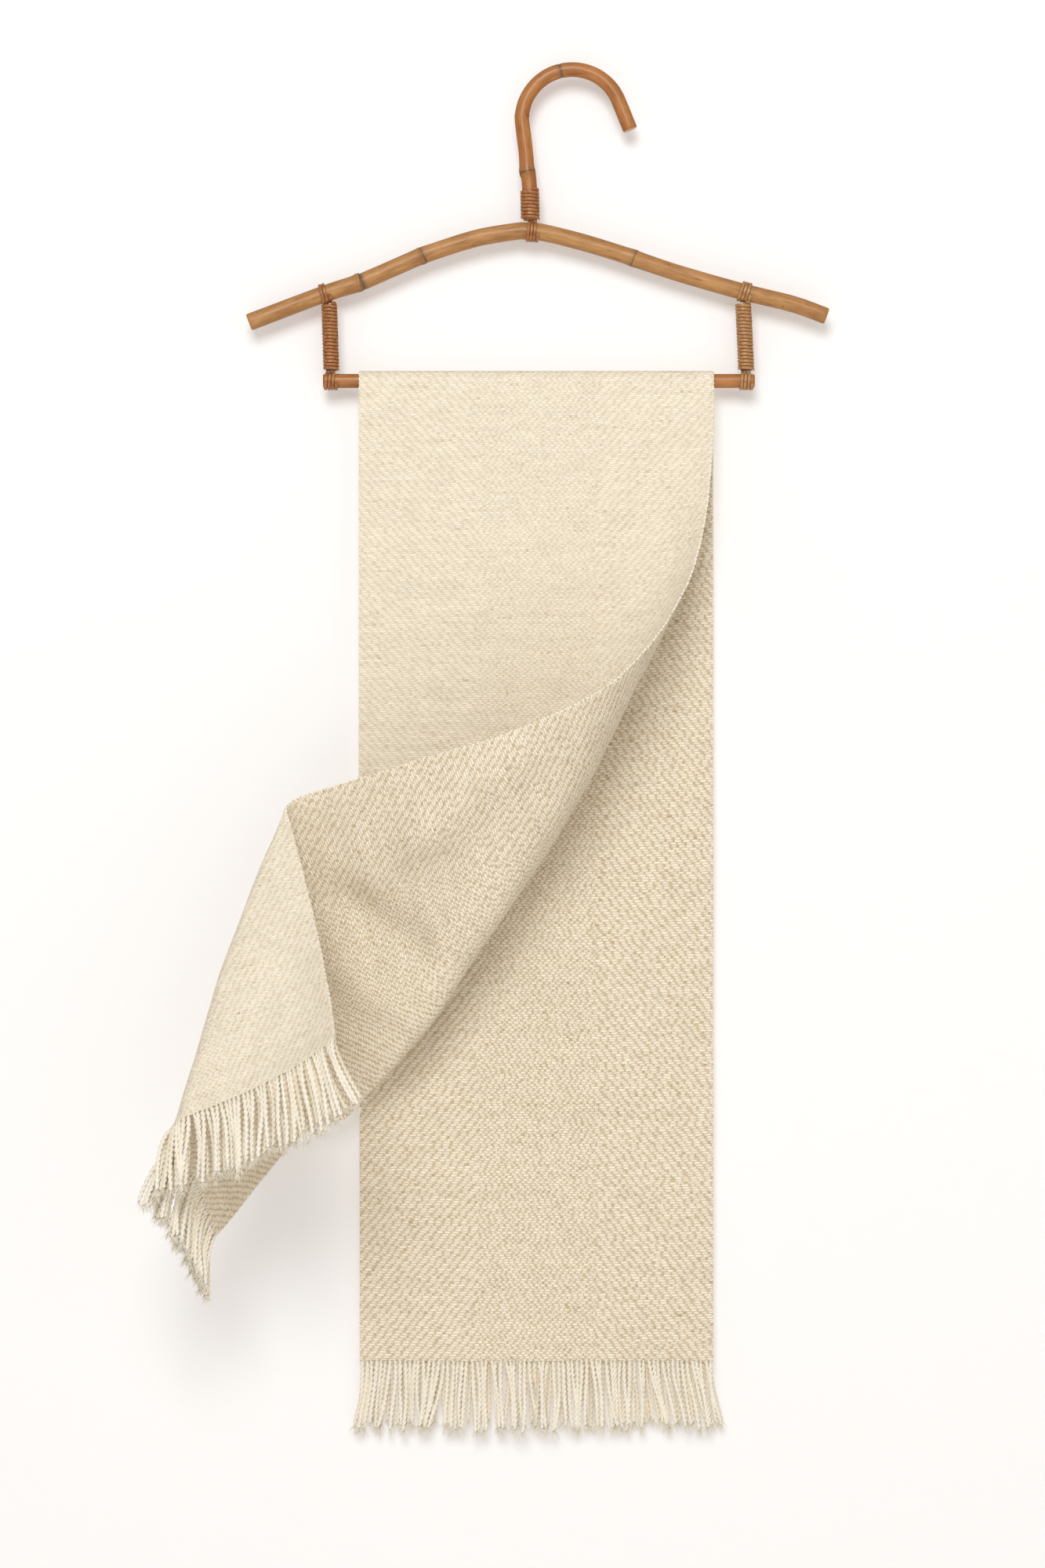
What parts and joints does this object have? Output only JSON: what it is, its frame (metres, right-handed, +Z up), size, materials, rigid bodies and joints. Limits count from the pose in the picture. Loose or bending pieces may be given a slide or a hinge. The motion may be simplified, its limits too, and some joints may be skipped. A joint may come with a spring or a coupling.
{
  "type": "scarf on a cane hanger",
  "caption": "Fringed handwoven twill scarf folded over the lower rod of a cane hanger, its front end rolled and turned to the left, back end hanging straight.",
  "frame": {"origin": "where the hook's crown rests on its peg: the underside of the crown, in the hanger's middle plane", "axes": "+Z up, +X to the right as seen from the front, the front faces -Y"},
  "size_m": [0.4735, 0.2155, 0.9863],
  "materials": {
    "cloth": "matt cream handwoven twill",
    "fringe": "matt cream twisted yarn",
    "toasted_cane": "satin toasted cane",
    "pale_cane": "satin tan cane",
    "split_cane": "satin split cane binding"
  },
  "bodies": {
    "root": {"cloth_back_leg": "cloth", "cloth_front_leg": "cloth", "cloth_turned_stretch": "cloth", "cloth_end_flap": "cloth", "fringe_back_leg": "fringe", "fringe_turned_stretch": "fringe", "fringe_end_flap": "fringe", "hanger_hook": "toasted_cane", "hanger_rod": "toasted_cane", "hanger_arm": "pale_cane", "hanger_post_left": "pale_cane", "hanger_post_right": "pale_cane", "binding_hook": "split_cane", "wrap_post_left": "split_cane", "wrap_post_right": "split_cane", "tie_arm_left": "split_cane", "tie_arm_right": "split_cane", "tie_arm_hook": "split_cane", "tie_rod_left": "split_cane", "tie_rod_right": "split_cane"}
  },
  "joints": []
}
